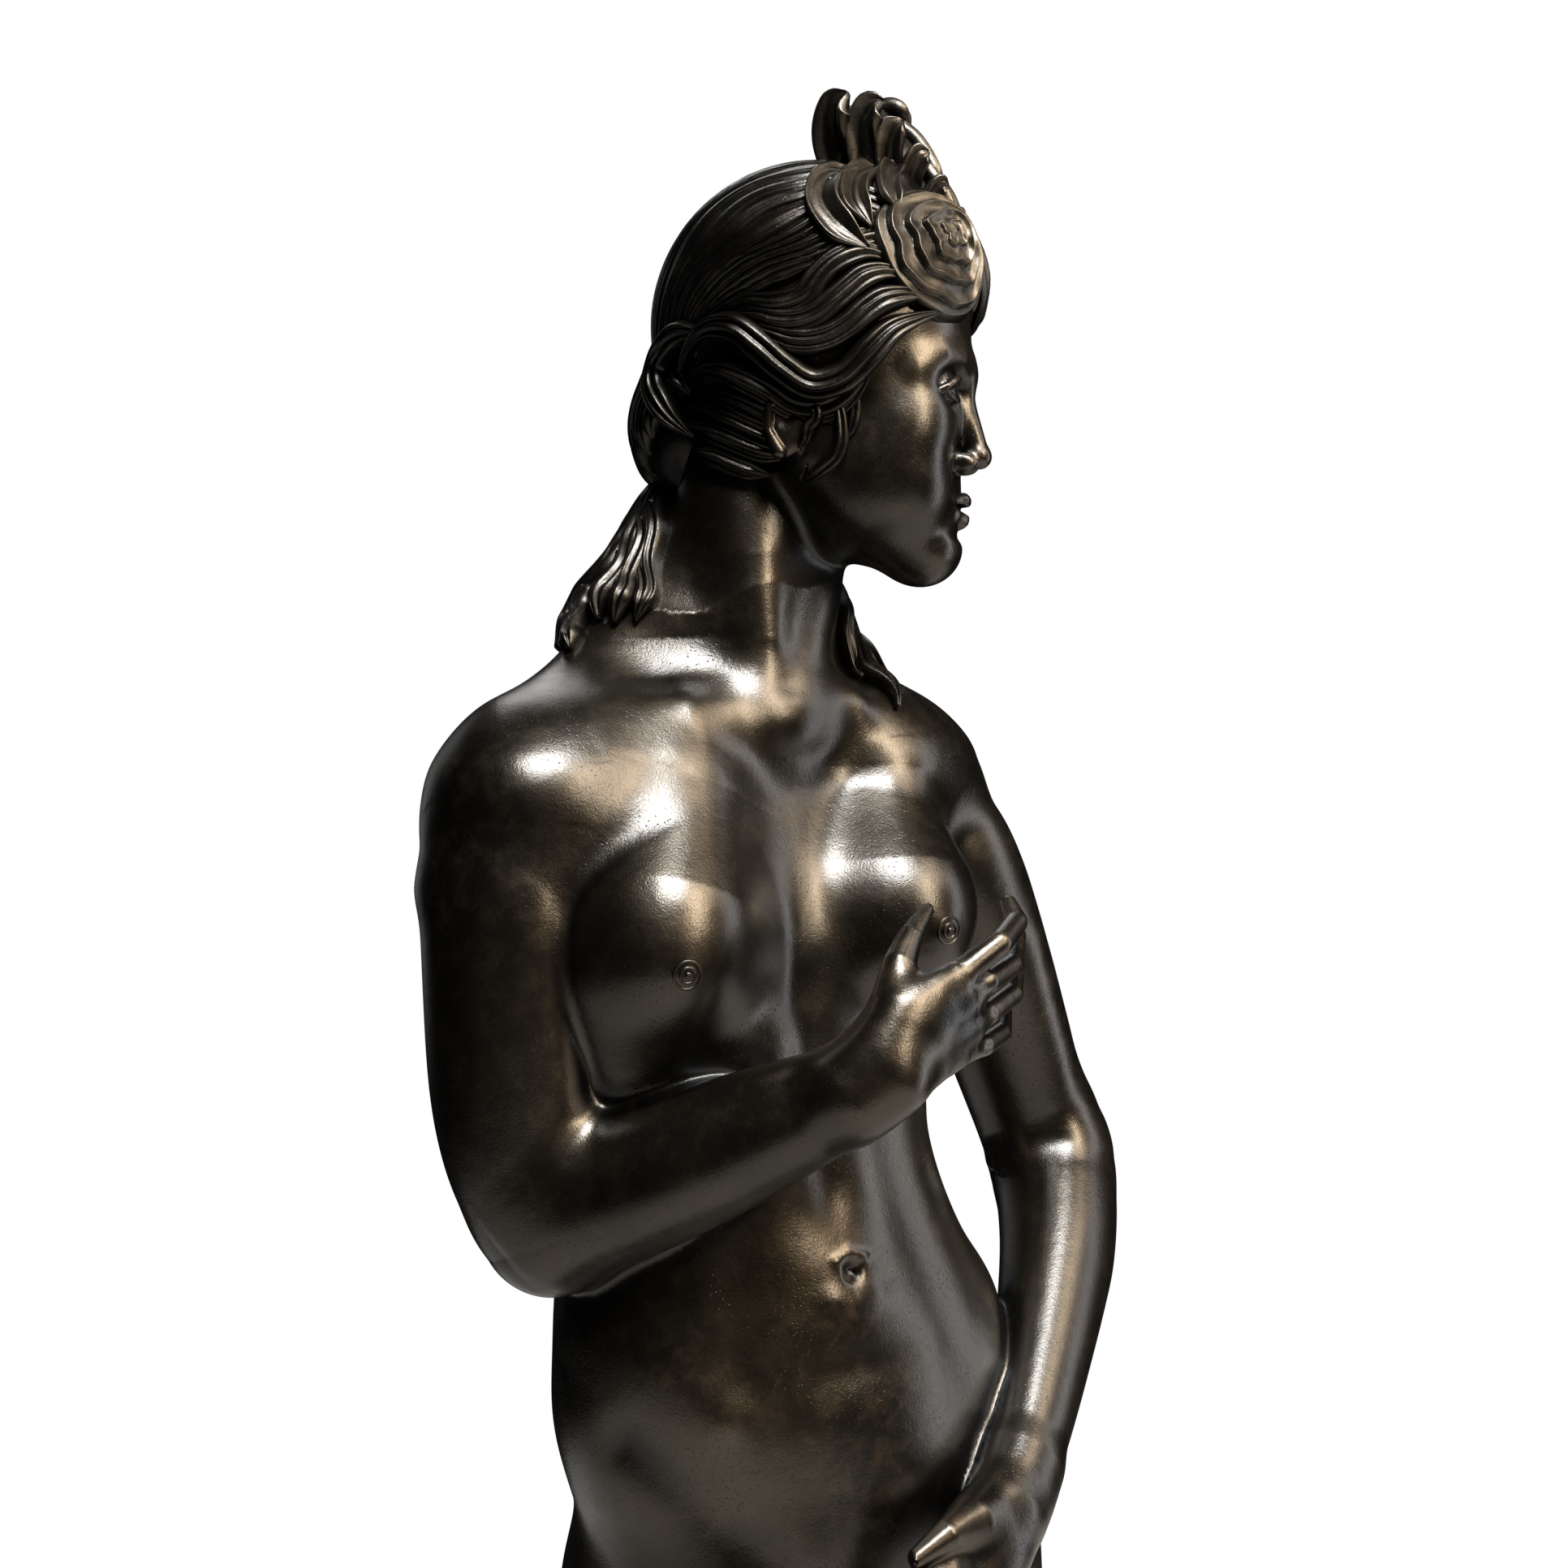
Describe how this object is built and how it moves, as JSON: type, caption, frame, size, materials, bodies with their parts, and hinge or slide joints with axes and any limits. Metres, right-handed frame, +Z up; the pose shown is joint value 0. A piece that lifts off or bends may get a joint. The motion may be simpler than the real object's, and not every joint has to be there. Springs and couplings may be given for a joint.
{
  "type": "bronze statuette",
  "caption": "Free-standing dark patinated bronze statuette of a classical standing Venus with a hair bow, arms held across the body, beside a draped urn on a moulded plinth.",
  "frame": {"origin": "centre of the underside of the base pad under the plinth", "axes": "+Z up, the plinth's and hips' front towards -Y, +X towards the figure's left-hand side (viewer's right from the front)"},
  "size_m": [0.188, 0.154, 0.5887],
  "materials": {
    "dark_bronze": "dark brown-black patina, wax polished, worn to warm brown on the high points",
    "raw_bronze": "as-cast and filed, unpatinated, hidden inside the joints",
    "steel_fixings": "plain mild steel",
    "felt": "green baize"
  },
  "bodies": {
    "root": {"torso": "dark_bronze", "head": "dark_bronze", "hair_bow": "dark_bronze", "right_arm": "dark_bronze", "left_arm": "dark_bronze", "right_leg": "dark_bronze", "left_leg": "dark_bronze", "urn": "dark_bronze", "urn_cloth": "dark_bronze", "plinth": "dark_bronze", "hair_bow_pin": "raw_bronze", "neck_sleeve": "raw_bronze", "neck_pin_1": "raw_bronze", "neck_pin_2": "raw_bronze", "right_arm_sleeve": "raw_bronze", "right_arm_pin_1": "raw_bronze", "right_arm_pin_2": "raw_bronze", "left_arm_sleeve": "raw_bronze", "left_arm_pin_1": "raw_bronze", "left_arm_pin_2": "raw_bronze", "right_thigh_sleeve": "raw_bronze", "right_thigh_pin_1": "raw_bronze", "right_thigh_pin_2": "raw_bronze", "left_thigh_sleeve": "raw_bronze", "left_thigh_pin_1": "raw_bronze", "left_thigh_pin_2": "raw_bronze", "left_foot_stud": "steel_fixings", "left_foot_washer": "steel_fixings", "left_foot_nut": "steel_fixings", "right_foot_stud": "steel_fixings", "right_foot_washer": "steel_fixings", "right_foot_nut": "steel_fixings", "urn_stud": "steel_fixings", "urn_washer": "steel_fixings", "urn_nut": "steel_fixings", "base_pad": "felt"}
  },
  "joints": []
}
